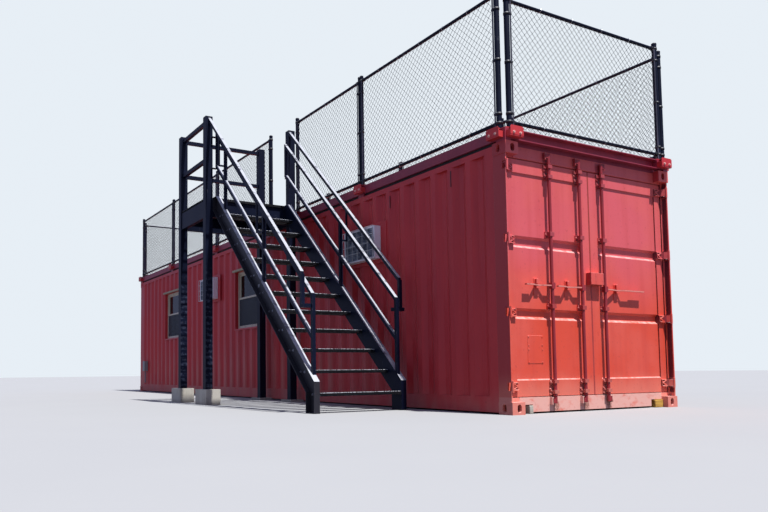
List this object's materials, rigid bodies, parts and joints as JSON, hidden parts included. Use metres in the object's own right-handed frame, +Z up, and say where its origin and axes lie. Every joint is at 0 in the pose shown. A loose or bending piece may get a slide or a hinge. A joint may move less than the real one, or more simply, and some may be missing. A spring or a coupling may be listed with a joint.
{
  "type": "shipping container cabin with a fenced roof deck and outside stair",
  "caption": "Steel shipping container fitted out as a cabin, with windows, wall units, hinged cargo doors with lock rods, a fenced roof deck, and an outside steel stair with a landing.",
  "frame": {"origin": "middle of the footprint at ground level, at the underside of the corner castings", "axes": "+X along the container towards the cargo doors, +Z up, the stair and the windows on the -Y side"},
  "size_m": [12.308, 3.976, 4.123],
  "materials": {
    "red_paint": "semi-gloss marine paint, dusty and scuffed",
    "black_paint": "satin",
    "grating": "matt, worn on the edges",
    "plywood": "sealed, scuffed",
    "window_frame": "satin almond enamel",
    "window_glass": "clear, dark room behind",
    "unit_case": "satin",
    "white_wire": "satin",
    "grey_box": "satin",
    "concrete": "rough, stained"
  },
  "bodies": {
    "root": {"door_post_left": "red_paint", "door_post_right": "red_paint", "door_header": "red_paint", "door_sill": "red_paint", "far_posts": "red_paint", "far_rails": "red_paint", "side_rails": "red_paint", "near_wall": "red_paint", "back_wall": "red_paint", "far_wall": "red_paint", "roof_panel": "red_paint", "floor_deck": "plywood", "cross_members": "red_paint", "opening_linings": "red_paint", "window_frames": "window_frame", "window_glass": "window_glass", "wall_units": "unit_case", "unit_cages": "white_wire", "meter_box": "grey_box", "roof_beams": "red_paint", "post_brackets": "red_paint", "fence_near_1": "black_paint", "fence_near_2": "black_paint", "fence_near_3": "black_paint", "fence_near_4": "black_paint", "fence_near_5": "black_paint", "fence_back_1": "black_paint", "fence_back_2": "black_paint", "fence_back_3": "black_paint", "fence_back_4": "black_paint", "fence_back_5": "black_paint", "fence_door_end": "black_paint", "fence_far_end": "black_paint", "footings": "concrete", "landing_posts": "black_paint", "landing_frame": "black_paint", "landing_grating": "grating", "landing_guards": "black_paint", "outer_stringer": "black_paint", "inner_stringer": "black_paint", "stair_treads": "grating", "outer_guard": "black_paint", "inner_guard": "black_paint"},
    "left_door": {"left_door": "red_paint"},
    "right_door": {"right_door": "red_paint"},
    "lock_rod_1": {"lock_rod_1": "red_paint"},
    "lock_rod_2": {"lock_rod_2": "red_paint"},
    "lock_rod_3": {"lock_rod_3": "red_paint"}
  },
  "joints": [
    {"name": "left_door_hinge", "type": "hinge", "parent": "root", "child": "left_door", "pos_m": [6.08, -0.484, 1.3], "axis": [0, 0, 1], "range_deg": [-260, 0]},
    {"name": "right_door_hinge", "type": "hinge", "parent": "root", "child": "right_door", "pos_m": [6.08, 1.906, 1.3], "axis": [0, 0, 1], "range_deg": [0, 260]},
    {"name": "lock_rod_1_turn", "type": "hinge", "parent": "left_door", "child": "lock_rod_1", "pos_m": [6.048, 0.111, 1.24], "axis": [0, 0, 1], "range_deg": [0, 90]},
    {"name": "lock_rod_2_turn", "type": "hinge", "parent": "left_door", "child": "lock_rod_2", "pos_m": [6.048, 0.541, 1.24], "axis": [0, 0, 1], "range_deg": [0, 90]},
    {"name": "lock_rod_3_turn", "type": "hinge", "parent": "right_door", "child": "lock_rod_3", "pos_m": [6.048, 0.881, 1.24], "axis": [0, 0, 1], "range_deg": [-90, 0]}
  ]
}
